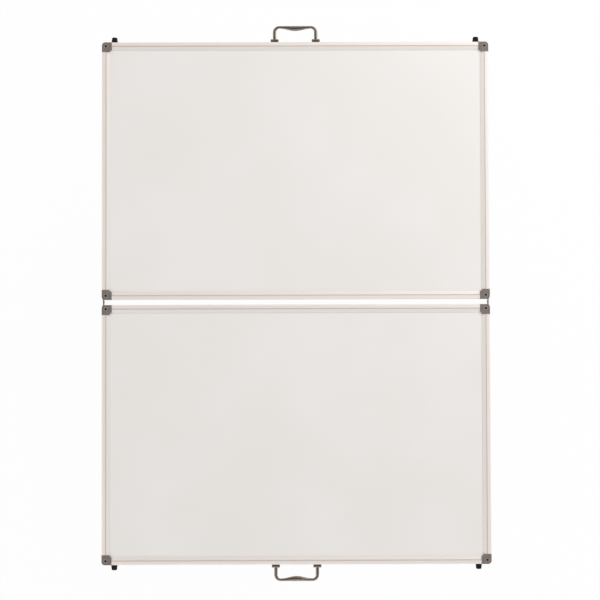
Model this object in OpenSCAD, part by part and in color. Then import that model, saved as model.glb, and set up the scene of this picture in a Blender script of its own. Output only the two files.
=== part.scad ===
// Folding desk whiteboard easel: two framed magnetic panels joined edge to edge by a double-pivot
// link at each end. Each panel has rubber feet and a swinging carrying handle on its free edge.
// It is drawn lying open and flat, with both writing faces up.
// X runs along the long edges, Y from the front panel to the rear one, Z out of the writing faces.
// The origin is on the resting plane, under the middle of the gap between the panels.

/* [Panels] */
// Width of each framed panel, along the hinge
panel_w = 900; // [500:10:1400]
// Height of each framed panel, from its hinge edge to its free edge
panel_h = 600; // [350:10:1000]
// Thickness of the stiff core
core_t = 9; // [6:0.5:14]
// Thickness of the lacquered steel writing sheet
face_sheet_t = 0.4; // [0.3:0.05:0.8]
// Thickness of the steel backing sheet
back_sheet_t = 0.3; // [0.2:0.05:0.8]
// Length cropped off each corner of the sheets and the core
sheet_crop = 6; // [5:0.5:9]
// Room between the edge of the sheets and the web of the rail
sheet_edge_gap = 0.4; // [0.2:0.1:1]

/* [Rails] */
// Width of the rail as seen from the front
rail_w = 18.8; // [17:0.1:22]
// How far the rail stands out past the sheets, on either side
rail_cover = 3.5; // [3:0.1:5]
// Wall of the aluminium extrusion
rail_wall = 1.3; // [1:0.1:1.6]
// Rounding of the rail's outer edges
rail_edge_r = 2.5; // [1:0.25:3]
// Middle of the groove, from the outer side of the rail
groove_at = 9.5; // [9:0.1:10.5]
// Width of the groove
groove_w = 2; // [1:0.1:2.4]
// Depth of the groove
groove_depth = 1.5; // [0.8:0.1:1.8]
// How far the lip starts below the rail's front
lip_drop = 0.5; // [0:0.1:0.8]
// Slope of the groove's inner side
lip_draft = 0.3; // [0.1:0.1:0.6]
// Height of the lip's inner edge over the sheet
lip_edge_t = 1.2; // [0.8:0.1:1.8]
// Height of the pad along the lip's edge that bears on the sheet
pad_h = 0.3; // [0.2:0.05:0.5]

/* [Corner caps] */
// Length of each side of a corner cap
cap_len = 23.2; // [22:0.1:26]
// Radius of the cap's outer corner
cap_round = 8; // [6:0.5:9]
// Chamfer of the cap's inner corner
cap_chamfer = 6.5; // [4:0.5:8]
// How far the cap stands out past the rail's front and back
cap_proud = 0.3; // [0.2:0.05:0.6]
// Broken edge round the outside of a cap
cap_break = 0.6; // [0.3:0.1:1]
// Radius of the raised ring round the cap's screw
ring_r = 5.8; // [4.5:0.1:6.5]
// Height of the raised ring
ring_h = 0.4; // [0.2:0.05:0.8]
// Distance of the cap's screw from both outer sides
cap_screw_in = 9.5; // [9:0.1:10]
// Length of each leg of the corner keys
key_len = 55; // [42:1:80]
// Radius of the boss in the elbow of a key
key_boss_r = 3.6; // [3:0.1:4]

/* [Hinge] */
// Gap between the panels when they lie open
hinge_gap = 12; // [11:0.5:20]
// Distance of each pivot from its panel's hinge edge
pivot_in = 5; // [4.6:0.1:5.6]
// Width of a link, and of its round ends
link_w = 10; // [9:0.1:10.4]
// Thickness of a link
link_t = 2.6; // [2:0.1:3]
// How far a link lies inboard of the panel's side
link_inset = 2.4; // [2.2:0.1:2.6]
// Diameter of the shoulder that a link turns on
shoulder_d = 5; // [4:0.5:6]
// Diameter of the pressed stud in the middle of a link
stud_d = 3.2; // [2.5:0.1:3.4]
// Thickness of the washer behind a link
washer_t = 1; // [0.8:0.1:1.2]
// Thickness of the cap's wall behind the washer
pivot_wall = 1; // [0.8:0.1:1.2]

/* [Handles] */
// Distance between the middles of a handle's two legs
handle_span = 96; // [80:1:140]
// How far the handle reaches past the edge of the rail
handle_rise = 39; // [34:0.5:60]
// Width of a leg, seen from the front
leg_w = 8.2; // [7:0.1:10]
// Thickness of a leg
leg_t = 6.2; // [5:0.1:6.4]
// Outer radius of the bends
bend_r = 15; // [12:0.5:18]
// Width of the grip at its ends
grip_end_w = 6; // [5:0.1:8]
// Width of the grip in the middle
grip_mid_w = 11.6; // [9:0.1:14]
// Thickness of the grip in the middle
grip_mid_t = 10.4; // [8:0.1:13]
// Height of the handle's pivot over the rail
handle_pivot_h = 4.9; // [4.8:0.1:6]
// Diameter of the handle's pin
pin_d = 3; // [2:0.1:3.4]
// Thickness of a bracket's cheek
cheek_t = 4.6; // [3:0.1:5]
// Radius of a bracket's cheek round the pin
cheek_r = 3.4; // [3.2:0.1:3.6]
// Rounding of a cheek's outer edge
cheek_edge_r = 1.6; // [0.8:0.1:2]
// Thickness of a bracket's base
base_t = 1.2; // [1:0.1:1.3]
// Length of a bracket's base across the rail
base_len = 12; // [11:0.1:12]
// Thickness of the web that stops the handle in line with the panel
stop_t = 1.2; // [0.8:0.1:1.4]
// How far the stop web reaches past the middle of the pin
stop_reach = 1.7; // [1:0.1:2]
// How far the eye round the pin stands out past the leg, front and back
eye_proud = 0.2; // [0.1:0.05:0.4]
// Metal between the pin's bore and the root of the leg
neck_wall = 0.4; // [0.3:0.05:0.6]
// How much thinner a leg is at its root
neck_thinning = 1.4; // [0.8:0.1:1.8]

/* [Feet] */
// Height of a foot
foot_h = 12; // [9:0.5:18]
// Diameter of a foot at the rail
foot_base_d = 14.8; // [13:0.1:15.5]
// Diameter of a foot at its tip
foot_tip_d = 12; // [11:0.1:13]
// Rounding of the tip's edge
foot_edge_r = 1.4; // [0.8:0.1:1.6]
// How far the middle of a foot lies past the corner cap
foot_past_cap = 5.6; // [4:0.1:12]

/* [Fasteners] */
// Thread diameter of the cap screws
cap_screw_d = 3; // [2.5:0.1:3.2]
// Head diameter of the cap screws
cap_head_d = 5; // [4.5:0.1:5.4]
// Head height of the cap screws
cap_head_h = 1.7; // [1.5:0.1:2]
// Depth of the cap screws' heads below the raised ring
cap_head_sink = 0.7; // [0.3:0.1:1]
// Hexagon socket of the cap screws, across its corners
cap_socket_d = 2.5; // [2:0.1:3]
// Depth of the cap screws' socket
cap_socket_depth = 1.1; // [0.7:0.1:1.2]
// Thread diameter of the shoulder screws
link_thread_d = 4; // [3:0.1:4]
// Length of the shoulder screws' thread
link_thread_len = 12; // [8:0.5:20]
// Head diameter of the shoulder screws
link_head_d = 8.4; // [7:0.1:8.8]
// Head height of the shoulder screws
link_head_h = 1.9; // [1.6:0.1:2]
// Hexagon socket of the shoulder screws, across its corners
link_socket_d = 3; // [2.5:0.1:3.6]
// Depth of the shoulder screws' socket
link_socket_depth = 1.2; // [0.8:0.1:1.3]
// Thread diameter of the foot screws
foot_screw_d = 3.5; // [3:0.1:4]
// Head diameter of the foot screws
foot_head_d = 6; // [5.5:0.1:6.2]
// Head height of the foot screws
foot_head_h = 2; // [1.6:0.1:2.4]
// Depth of the foot screws' heads below the tip of the foot
foot_head_sink = 3; // [2:0.25:4]
// Hexagon socket of the foot screws, across its corners
foot_socket_d = 3; // [2.5:0.1:3.6]
// Depth of the foot screws' socket
foot_socket_depth = 1; // [0.7:0.1:1.2]
// How far the tips of the cap and foot screws stay inside the key
screw_tip_in = 1; // [0.5:0.1:2]
// Body diameter of the bracket rivets
rivet_d = 2.6; // [2:0.1:3]
// Head diameter of the bracket rivets
rivet_head_d = 4; // [3.6:0.1:4.2]
// Head height of the bracket rivets
rivet_head_h = 0.9; // [0.7:0.05:1]
// Length of the upset end of a rivet
rivet_bulb_h = 2.6; // [2:0.1:3]
// How far the lower rivet lies behind mid thickness
rivet_low = 1; // [0.8:0.1:1.2]
// Distance between the two rivets of a bracket
rivet_pitch = 4.4; // [4.4:0.1:4.8]

/* [Hidden] */
$fn = 64;
// Clearance of pieces that slide into each other
fit_gap = 0.15;
// Radial clearance of screws, pins and shoulders in their bores
run_gap = 0.05;
// Clearance between bodies that move past each other
move_gap = 0.3;
// Overlap that lets cutters pass through a face
eps = 0.5;

sheets_t = face_sheet_t + core_t + back_sheet_t;
slot_t = sheets_t + 2 * fit_gap;
rail_t = slot_t + 2 * rail_cover;
cap_t = rail_t + 2 * cap_proud;
mid_z = cap_t / 2;

tube_w = groove_at - groove_w / 2;
lip_u = groove_at + groove_w / 2;
chamber_end = lip_u - rail_wall;
sheet_in = lip_u + sheet_edge_gap;
sheets_bottom = mid_z - sheets_t / 2;

key_t = slot_t - 2 * fit_gap;
key_outer = rail_wall + fit_gap;
key_inner = chamber_end - fit_gap;

recess_r = link_w / 2 + move_gap;
recess_depth = link_inset + link_t + fit_gap + washer_t;
pivot_block_a = recess_depth + pivot_wall;
pivot_block_b = pivot_in + recess_r + pivot_wall;
link_len = hinge_gap + 2 * pivot_in;
stud_h = washer_t + fit_gap - move_gap;

hinge_y = hinge_gap / 2;
free_y = hinge_y + panel_h;
foot_in = cap_len + foot_past_cap;

cap_head_z = cap_t + ring_h - cap_head_sink - cap_head_h;
foot_head_z = foot_h - foot_head_sink - foot_head_h;
cheek_in = leg_w / 2 + move_gap;
eye_d = leg_t + 2 * eye_proud;
stop_z = mid_z - eye_d / 2 - move_gap;
// The two rivets of a bracket sit in front of its stop web
rivet_heights = [mid_z - rivet_low, mid_z - rivet_low + rivet_pitch];

// The pieces below are drawn for the rear panel. The front panel is its mirror image.
module rear_panel() {
    children();
}

module front_panel() {
    mirror([0, 1, 0]) children();
}

// Side -1 is the left of the panel and +1 the right
module on_side(side) {
    if (side > 0) mirror([1, 0, 0]) children();
    else children();
}

// A corner's own frame: X runs inward from the panel's side, Y inward from its hinge or free edge
module at_hinge_corner(side) {
    on_side(side) translate([-panel_w / 2, hinge_y, 0]) children();
}

module at_free_corner(side) {
    on_side(side) translate([-panel_w / 2, free_y, 0]) mirror([0, 1, 0]) children();
}

// Draws along X what is drawn along Z, with the drawing's X along Y and its Y along Z
module along_x() {
    rotate([90, 0, 90]) children();
}

// Draws along Y, outward from the free edge, what is drawn along Z
module along_y() {
    rotate([-90, 0, 0]) children();
}

// A square from the origin with its first corner rounded
module corner_square(size, r) {
    union() {
        translate([r, 0]) square([size - r, size]);
        translate([0, r]) square([size, size - r]);
        translate([r, r]) circle(r);
    }
}

// Sheets and core

module sheet_outline() {
    x = panel_w / 2 - sheet_in;
    low = hinge_y + sheet_in;
    high = free_y - sheet_in;
    polygon([
        [-x + sheet_crop, low], [x - sheet_crop, low], [x, low + sheet_crop], [x, high - sheet_crop],
        [x - sheet_crop, high], [-x + sheet_crop, high], [-x, high - sheet_crop], [-x, low + sheet_crop]
    ]);
}

module back_sheet() {
    color("silver")
    translate([0, 0, sheets_bottom])
    linear_extrude(back_sheet_t) sheet_outline();
}

module core_board() {
    color("burlywood")
    translate([0, 0, sheets_bottom + back_sheet_t])
    linear_extrude(core_t) sheet_outline();
}

module face_sheet() {
    color("white")
    translate([0, 0, sheets_bottom + back_sheet_t + core_t])
    linear_extrude(face_sheet_t) sheet_outline();
}

// Rails: X of the section runs inward from the rail's outer side, Y is the height over mid thickness

// Outline of the extrusion with square outer edges, from its front half and its mirror image
module rail_outline() {
    groove_floor = rail_t / 2 - groove_depth;
    pad = rail_w - rail_wall;
    half = [
        [0, rail_t / 2], [tube_w, rail_t / 2], [tube_w, groove_floor], [lip_u, groove_floor],
        [lip_u + lip_draft, rail_t / 2 - lip_drop], [rail_w, slot_t / 2 + lip_edge_t],
        [rail_w, slot_t / 2], [pad, slot_t / 2], [pad, slot_t / 2 + pad_h],
        [lip_u, groove_floor - rail_wall]
    ];
    polygon(concat(half, [for (i = [len(half) - 1 : -1 : 0]) [half[i][0], -half[i][1]]]));
}

// Waste outside a rounded outer edge
module edge_waste() {
    difference() {
        translate([-eps, rail_t / 2 - rail_edge_r]) square(rail_edge_r + eps);
        translate([rail_edge_r, rail_t / 2 - rail_edge_r]) circle(rail_edge_r);
    }
}

module rail_section() {
    difference() {
        rail_outline();
        edge_waste();
        mirror([0, 1]) edge_waste();
        translate([rail_wall, -rail_t / 2 + rail_wall])
            square([tube_w - 2 * rail_wall, rail_t - 2 * rail_wall]);
        translate([rail_wall, -slot_t / 2]) square([chamber_end - rail_wall, slot_t]);
    }
}

// A length of rail along X, with its outer side on the X axis and its body towards +Y
module rail_along_x(length) {
    translate([-length / 2, 0, mid_z])
    along_x() linear_extrude(length) rail_section();
}

// Bore of a foot screw or a rivet through the free rail's outer wall
module free_rail_bore(x, z, d) {
    translate([x, free_y + eps, z]) mirror([0, 1, 0]) along_y()
    cylinder(h = rail_wall + 2 * eps, d = d + 2 * run_gap);
}

module outer_rail() {
    color("gainsboro")
    difference() {
        translate([0, free_y, 0]) mirror([0, 1, 0]) rail_along_x(panel_w - 2 * cap_len);
        for (side = [-1, 1]) {
            free_rail_bore(side * (panel_w / 2 - foot_in), mid_z, foot_screw_d);
            for (z = rivet_heights) free_rail_bore(side * handle_span / 2, z, rivet_d);
        }
    }
}

module hinge_rail() {
    color("gainsboro")
    translate([0, hinge_y, 0]) rail_along_x(panel_w - 2 * cap_len);
}

module side_rail(side) {
    color("gainsboro")
    on_side(side)
    translate([-panel_w / 2, hinge_y + panel_h / 2, 0])
    rotate([0, 0, -90]) rail_along_x(panel_h - 2 * cap_len);
}

// Corner caps

module cap_outline() {
    difference() {
        corner_square(cap_len, cap_round);
        polygon([
            [cap_len + eps, cap_len - cap_chamfer - eps], [cap_len + eps, cap_len + eps],
            [cap_len - cap_chamfer - eps, cap_len + eps]
        ]);
    }
}

// Wedge of waste along an edge: cuts cap_break off the front edge of whatever ends at X = 0
module break_section() {
    polygon([[-eps, cap_break + eps], [cap_break + eps, -eps], [-eps, -eps]]);
}

module front_edge_break() {
    translate([cap_round, cap_round, 0])
    rotate([0, 0, 180]) rotate_extrude(angle = 90)
    translate([cap_round, 0]) mirror([1, 0]) break_section();
    for (swap = [0, 1])
        mirror([swap, -swap, 0])
        translate([0, cap_len + eps, 0]) rotate([90, 0, 0])
        linear_extrude(cap_len + eps - cap_round) break_section();
}

module cap_body() {
    difference() {
        union() {
            linear_extrude(cap_t) cap_outline();
            translate([cap_screw_in, cap_screw_in, 0]) cylinder(h = cap_t + ring_h, r = ring_r);
        }
        front_edge_break();
        translate([0, 0, cap_t]) mirror([0, 0, 1]) front_edge_break();
        translate([cap_screw_in, cap_screw_in, cap_head_z])
            cylinder(h = cap_t, d = cap_head_d + 2 * fit_gap);
        translate([cap_screw_in, cap_screw_in, mid_z])
            cylinder(h = cap_t, d = cap_screw_d + 2 * fit_gap);
    }
}

// Hollow of a cap that takes the corner key and the corner of the sheets
module cap_slot_outline() {
    translate([rail_wall, rail_wall]) corner_square(cap_len, cap_round - rail_wall);
}

module outer_cap() {
    difference() {
        cap_body();
        translate([0, 0, mid_z - slot_t / 2]) linear_extrude(slot_t) cap_slot_outline();
    }
}

// Room for the end of a link: open to the gap, the back and the side, closed by the cap's front
module link_recess() {
    translate([-eps, 0, 0]) along_x() linear_extrude(recess_depth + eps)
    union() {
        translate([pivot_in, mid_z]) circle(recess_r);
        translate([-eps, -eps]) square([pivot_in + eps, mid_z + recess_r + eps]);
        translate([-eps, -eps]) square([pivot_in + recess_r + eps, mid_z + eps]);
    }
}

module hinge_cap() {
    difference() {
        cap_body();
        translate([0, 0, mid_z - slot_t / 2]) linear_extrude(slot_t)
        difference() {
            cap_slot_outline();
            square([pivot_block_a, pivot_block_b]);
        }
        link_recess();
        translate([0, pivot_in, mid_z]) along_x()
            cylinder(h = pivot_block_a + eps, d = link_thread_d + 2 * fit_gap);
    }
}

module free_corner_cap(side) {
    color("dimgray") at_free_corner(side) outer_cap();
}

module hinge_corner_cap(side) {
    color("dimgray") at_hinge_corner(side) hinge_cap();
}

// Corner keys

module key_outline() {
    reach = cap_len + key_len;
    union() {
        difference() {
            translate([key_outer, key_outer]) corner_square(reach, cap_round - key_outer);
            translate([key_inner, key_inner]) square(reach + key_outer);
        }
        translate([cap_screw_in, cap_screw_in]) circle(key_boss_r);
    }
}

module cap_screw_bore() {
    translate([cap_screw_in, cap_screw_in, 0]) cylinder(h = cap_t, d = cap_screw_d + 2 * run_gap);
}

module outer_key() {
    difference() {
        translate([0, 0, mid_z - key_t / 2]) linear_extrude(key_t) key_outline();
        cap_screw_bore();
        translate([foot_in, -eps, mid_z]) along_y()
            cylinder(h = key_inner + 2 * eps, d = foot_screw_d + 2 * run_gap);
    }
}

module hinge_key() {
    difference() {
        translate([0, 0, mid_z - key_t / 2]) linear_extrude(key_t)
        difference() {
            key_outline();
            square([pivot_block_a + fit_gap, pivot_block_b + fit_gap]);
        }
        cap_screw_bore();
        translate([0, pivot_in, mid_z]) along_x()
            cylinder(h = recess_depth + link_thread_len + eps, d = link_thread_d + 2 * run_gap);
    }
}

module outer_corner_keys() {
    color("darkgray") for (side = [-1, 1]) at_free_corner(side) outer_key();
}

module hinge_corner_keys() {
    color("darkgray") for (side = [-1, 1]) at_hinge_corner(side) hinge_key();
}

// Cap screws: socket heads sunk in the raised rings

module cap_screw() {
    tip = mid_z - key_t / 2 + screw_tip_in;
    translate([cap_screw_in, cap_screw_in, 0])
    difference() {
        union() {
            translate([0, 0, cap_head_z]) cylinder(h = cap_head_h, d = cap_head_d);
            translate([0, 0, tip]) cylinder(h = cap_head_z - tip, d = cap_screw_d);
        }
        translate([0, 0, cap_head_z + cap_head_h - cap_socket_depth])
            cylinder(h = cap_t, d = cap_socket_d, $fn = 6);
    }
}

module cap_screws() {
    color("black")
    for (side = [-1, 1]) {
        at_free_corner(side) cap_screw();
        at_hinge_corner(side) cap_screw();
    }
}

// Hinge links and what they turn on

module link_plate() {
    half = link_len / 2;
    difference() {
        union() {
            linear_extrude(link_t)
            union() {
                for (end = [-half, half]) translate([end, 0]) circle(d = link_w);
                translate([-half, -link_w / 2]) square([link_len, link_w]);
            }
            cylinder(h = link_t + stud_h, d = stud_d);
        }
        for (end = [-half, half])
            translate([end, 0, -eps]) cylinder(h = link_t + 2 * eps, d = shoulder_d + 2 * run_gap);
        translate([0, 0, -eps]) cylinder(h = stud_h + eps, d = stud_d / 2);
    }
}

module hinge_link(side) {
    color("silver")
    on_side(side)
    translate([-panel_w / 2 + link_inset, 0, mid_z]) along_x() link_plate();
}

module link_screw() {
    head_end = link_inset - fit_gap;
    thread_end = recess_depth + link_thread_len;
    translate([0, pivot_in, mid_z]) along_x()
    difference() {
        union() {
            translate([0, 0, head_end - link_head_h]) cylinder(h = link_head_h, d = link_head_d);
            translate([0, 0, head_end - eps]) cylinder(h = recess_depth - head_end + eps, d = shoulder_d);
            translate([0, 0, head_end]) cylinder(h = thread_end - head_end, d = link_thread_d);
        }
        cylinder(h = head_end - link_head_h + link_socket_depth, d = link_socket_d, $fn = 6);
    }
}

module link_screws() {
    color("dimgray") for (side = [-1, 1]) at_hinge_corner(side) link_screw();
}

module link_washers() {
    color("silver")
    for (side = [-1, 1])
        at_hinge_corner(side)
        translate([recess_depth - washer_t, pivot_in, mid_z]) along_x()
        difference() {
            cylinder(h = washer_t, d = link_head_d);
            translate([0, 0, -eps]) cylinder(h = washer_t + 2 * eps, d = shoulder_d + 2 * run_gap);
        }
}

// Feet

module foot(side) {
    lean = (foot_base_d - foot_tip_d) / 2;
    color("black")
    on_side(side)
    translate([-panel_w / 2 + foot_in, free_y, mid_z]) along_y()
    difference() {
        rotate_extrude()
        union() {
            polygon([
                [0, 0], [foot_base_d / 2, 0],
                [foot_tip_d / 2 + lean * foot_edge_r / foot_h, foot_h - foot_edge_r],
                [foot_tip_d / 2 - foot_edge_r, foot_h], [0, foot_h]
            ]);
            translate([foot_tip_d / 2 - foot_edge_r, foot_h - foot_edge_r])
                intersection() {
                    circle(foot_edge_r);
                    square(foot_edge_r);
                }
        }
        translate([0, 0, -eps]) cylinder(h = foot_h, d = foot_screw_d + 2 * fit_gap);
        translate([0, 0, foot_head_z])
            cylinder(h = foot_h, d = foot_head_d + 2 * fit_gap);
    }
}

module foot_screws() {
    tip = screw_tip_in - key_inner;
    color("dimgray")
    for (side = [-1, 1])
        on_side(side)
        translate([-panel_w / 2 + foot_in, free_y, mid_z]) along_y()
        difference() {
            union() {
                translate([0, 0, tip]) cylinder(h = foot_head_z - tip + eps, d = foot_screw_d);
                translate([0, 0, foot_head_z]) cylinder(h = foot_head_h, d = foot_head_d);
            }
            translate([0, 0, foot_head_z + foot_head_h - foot_socket_depth])
                cylinder(h = foot_h, d = foot_socket_d, $fn = 6);
        }
}

// Handle brackets, rivets and pins

module at_leg(side) {
    on_side(side) translate([-handle_span / 2, free_y, 0]) children();
}

// A cheek with a rounded outer edge, drawn from its inner face outward along X
module cheek() {
    translate([0, handle_pivot_h, mid_z])
    rotate([0, 90, 0]) rotate_extrude()
    union() {
        square([cheek_r - cheek_edge_r, cheek_t]);
        square([cheek_r, cheek_t - cheek_edge_r]);
        translate([cheek_r - cheek_edge_r, cheek_t - cheek_edge_r]) circle(cheek_edge_r);
    }
    translate([0, 0, mid_z - cheek_r]) cube([cheek_t - cheek_edge_r / 2, handle_pivot_h, 2 * cheek_r]);
}

module bracket(side) {
    half = cheek_in + cheek_t;
    color("rosybrown")
    at_leg(side)
    difference() {
        union() {
            translate([-half, 0, mid_z - base_len / 2]) cube([2 * half, base_t, base_len]);
            for (flip = [0, 1]) mirror([flip, 0, 0]) translate([cheek_in, 0, 0]) cheek();
            translate([-cheek_in - eps, 0, stop_z - stop_t])
                cube([2 * (cheek_in + eps), handle_pivot_h + stop_reach, stop_t]);
        }
        translate([-half - eps, handle_pivot_h, mid_z]) along_x()
            cylinder(h = 2 * (half + eps), d = pin_d + 2 * run_gap);
        for (z = rivet_heights) {
            translate([0, -eps, z]) along_y() cylinder(h = base_t + 2 * eps, d = rivet_d + 2 * run_gap);
            translate([0, base_t - rivet_head_h, z]) along_y()
                cylinder(h = base_t, d = rivet_head_d + 2 * run_gap);
        }
    }
}

module bracket_rivets() {
    color("silver")
    for (side = [-1, 1])
        at_leg(side)
        for (z = rivet_heights)
            translate([0, 0, z]) along_y() {
                translate([0, 0, base_t - rivet_head_h]) cylinder(h = rivet_head_h - fit_gap, d = rivet_head_d);
                translate([0, 0, -rail_wall - rivet_bulb_h])
                    cylinder(h = rail_wall + rivet_bulb_h + base_t - fit_gap, d = rivet_d);
                translate([0, 0, -rail_wall - fit_gap - rivet_bulb_h])
                    cylinder(h = rivet_bulb_h, d = rivet_head_d);
            }
}

module handle_pins() {
    half = cheek_in + cheek_t;
    color("rosybrown")
    for (side = [-1, 1])
        at_leg(side)
        translate([-half, handle_pivot_h, mid_z]) along_x() cylinder(h = 2 * half, d = pin_d);
}

// Handle: one bar swept along its outer edge, thin at the bends and swollen in the grip

bar_sides = 16;
leg_steps = 3;
bend_steps = 8;
grip_steps = 24;
eye_lip = 0.2;
neck_h = pin_d / 2 + neck_wall;
neck_t = leg_t - neck_thinning;

function lerp(a, b, f) = a + f * (b - a);

// Outer side of the left leg
bar_side = eye_lip - handle_span / 2 - leg_w / 2;

// A station of the bar: place on the outer edge, direction outward, half width, half thickness
function leg_station(f) = [
    [bar_side, lerp(handle_pivot_h + neck_h, handle_rise - bend_r, f)],
    [-1, 0], leg_w / 2 - eye_lip, lerp(neck_t, leg_t, sqrt(f)) / 2
];

function bend_station(f) = [
    [bar_side + bend_r, handle_rise - bend_r] + bend_r * [-cos(90 * f), sin(90 * f)],
    [-cos(90 * f), sin(90 * f)],
    lerp(leg_w / 2 - eye_lip, grip_end_w / 2, f), leg_t / 2
];

// Share of the grip's swelling, none at its ends and all in the middle
function swell(f) = (1 - cos(360 * f)) / 2;

function grip_station(f) = [
    [lerp(bar_side + bend_r, -bar_side - bend_r, f), handle_rise],
    [0, 1],
    lerp(grip_end_w, grip_mid_w, swell(f)) / 2,
    lerp(leg_t, grip_mid_t, swell(f)) / 2
];

function mirrored(s) = [[-s[0][0], s[0][1]], [-s[1][0], s[1][1]], s[2], s[3]];

half_bar = concat(
    [for (i = [0 : leg_steps - 1]) leg_station(i / leg_steps)],
    [for (i = [0 : bend_steps - 1]) bend_station(i / bend_steps)]
);
bar = concat(
    half_bar,
    [for (i = [0 : grip_steps]) grip_station(i / grip_steps)],
    [for (i = [len(half_bar) - 1 : -1 : 0]) mirrored(half_bar[i])]
);

// One ring of the bar's skin: an ellipse, set back from the outer edge by its own half width
function ring(s) = [
    for (k = [0 : bar_sides - 1])
        let (across = s[2] * (cos(360 * k / bar_sides) - 1), lift = s[3] * sin(360 * k / bar_sides))
        [s[0][0] + s[1][0] * across, s[0][1] + s[1][1] * across, lift]
];

module handle_bar() {
    last = len(bar) - 1;
    points = [for (s = bar) for (p = ring(s)) p];
    skin = [
        for (i = [0 : last - 1]) for (k = [0 : bar_sides - 1])
            let (n = (k + 1) % bar_sides)
            [i * bar_sides + k, (i + 1) * bar_sides + k, (i + 1) * bar_sides + n, i * bar_sides + n]
    ];
    first_end = [for (k = [0 : bar_sides - 1]) k];
    last_end = [for (k = [bar_sides - 1 : -1 : 0]) last * bar_sides + k];
    polyhedron(points, concat(skin, [first_end], [last_end]));
}

module handle_grip() {
    color("gray")
    translate([0, free_y, mid_z])
    difference() {
        union() {
            handle_bar();
            for (side = [-1, 1])
                translate([side * handle_span / 2 - leg_w / 2, handle_pivot_h, 0]) along_x()
                cylinder(h = leg_w, d = eye_d);
        }
        for (side = [-1, 1])
            translate([side * handle_span / 2 - leg_w / 2 - eps, handle_pivot_h, 0]) along_x()
            cylinder(h = leg_w + 2 * eps, d = pin_d + 2 * run_gap);
    }
}

front_panel() face_sheet();  // front_face_sheet
front_panel() core_board();  // front_core_board
front_panel() back_sheet();  // front_back_sheet
front_panel() outer_rail();  // front_outer_rail
front_panel() hinge_rail();  // front_hinge_rail
front_panel() side_rail(-1);  // front_left_rail
front_panel() side_rail(1);  // front_right_rail
front_panel() free_corner_cap(-1);  // front_outer_left_cap
front_panel() free_corner_cap(1);  // front_outer_right_cap
front_panel() hinge_corner_cap(-1);  // front_hinge_left_cap
front_panel() hinge_corner_cap(1);  // front_hinge_right_cap
front_panel() outer_corner_keys();  // front_outer_corner_keys
front_panel() hinge_corner_keys();  // front_hinge_corner_keys
front_panel() cap_screws();  // front_cap_screws
front_panel() foot(-1);  // front_left_foot
front_panel() foot(1);  // front_right_foot
front_panel() foot_screws();  // front_foot_screws
front_panel() bracket(-1);  // front_left_bracket
front_panel() bracket(1);  // front_right_bracket
front_panel() bracket_rivets();  // front_bracket_rivets
front_panel() handle_pins();  // front_handle_pins
front_panel() handle_grip();  // front_handle_grip
front_panel() link_screws();  // front_link_screws
front_panel() link_washers();  // front_link_washers
hinge_link(-1);  // left_hinge_link
hinge_link(1);  // right_hinge_link
rear_panel() face_sheet();  // rear_face_sheet
rear_panel() core_board();  // rear_core_board
rear_panel() back_sheet();  // rear_back_sheet
rear_panel() outer_rail();  // rear_outer_rail
rear_panel() hinge_rail();  // rear_hinge_rail
rear_panel() side_rail(-1);  // rear_left_rail
rear_panel() side_rail(1);  // rear_right_rail
rear_panel() free_corner_cap(-1);  // rear_outer_left_cap
rear_panel() free_corner_cap(1);  // rear_outer_right_cap
rear_panel() hinge_corner_cap(-1);  // rear_hinge_left_cap
rear_panel() hinge_corner_cap(1);  // rear_hinge_right_cap
rear_panel() outer_corner_keys();  // rear_outer_corner_keys
rear_panel() hinge_corner_keys();  // rear_hinge_corner_keys
rear_panel() cap_screws();  // rear_cap_screws
rear_panel() foot(-1);  // rear_left_foot
rear_panel() foot(1);  // rear_right_foot
rear_panel() foot_screws();  // rear_foot_screws
rear_panel() bracket(-1);  // rear_left_bracket
rear_panel() bracket(1);  // rear_right_bracket
rear_panel() bracket_rivets();  // rear_bracket_rivets
rear_panel() handle_pins();  // rear_handle_pins
rear_panel() handle_grip();  // rear_handle_grip
rear_panel() link_screws();  // rear_link_screws
rear_panel() link_washers();  // rear_link_washers
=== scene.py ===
"""Folding desk whiteboard easel, lying open and flat with both writing faces up.

Sizes are the part's own, in millimetres. The frame and Blender are in metres.
"""
import math

import bmesh
import bpy
from mathutils import Matrix, Vector


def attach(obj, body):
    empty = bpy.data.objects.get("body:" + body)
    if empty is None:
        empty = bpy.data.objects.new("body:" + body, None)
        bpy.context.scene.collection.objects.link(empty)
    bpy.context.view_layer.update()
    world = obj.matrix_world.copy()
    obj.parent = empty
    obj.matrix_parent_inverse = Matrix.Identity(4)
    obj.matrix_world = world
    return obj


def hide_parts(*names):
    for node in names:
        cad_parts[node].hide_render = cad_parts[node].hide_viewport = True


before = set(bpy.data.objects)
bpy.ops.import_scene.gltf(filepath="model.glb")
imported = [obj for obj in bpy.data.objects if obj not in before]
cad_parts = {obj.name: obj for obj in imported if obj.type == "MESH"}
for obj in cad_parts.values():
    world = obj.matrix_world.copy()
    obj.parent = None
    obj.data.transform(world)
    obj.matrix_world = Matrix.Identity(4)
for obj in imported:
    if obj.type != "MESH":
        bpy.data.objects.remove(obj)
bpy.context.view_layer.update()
scene = bpy.context.scene
MM = 0.001
# Corners nearer to each other than this, in millimetres, are one
SAME_POINT = 0.002

# Panels, and how far their hinge edge and free edge are from the middle of the gap
PANEL_W, PANEL_H, HINGE_GAP = 900.0, 600.0, 12.0
HINGE_Y = HINGE_GAP / 2
FREE_Y = HINGE_Y + PANEL_H
# Corner caps, with the raised ring round their screw, and the panel's mid thickness
CAP_T, RING_H, CAP_SCREW_IN = 17.6, 0.4, 9.5
MID_Z = CAP_T / 2
# Corner keys: their thickness, and how far in their inner face is
KEY_T, KEY_INNER = 9.7, 9.05
# Rails: wall, and the floor of the groove from mid thickness
RAIL_WALL, GROOVE_FLOOR = 1.3, 7.0
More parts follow.
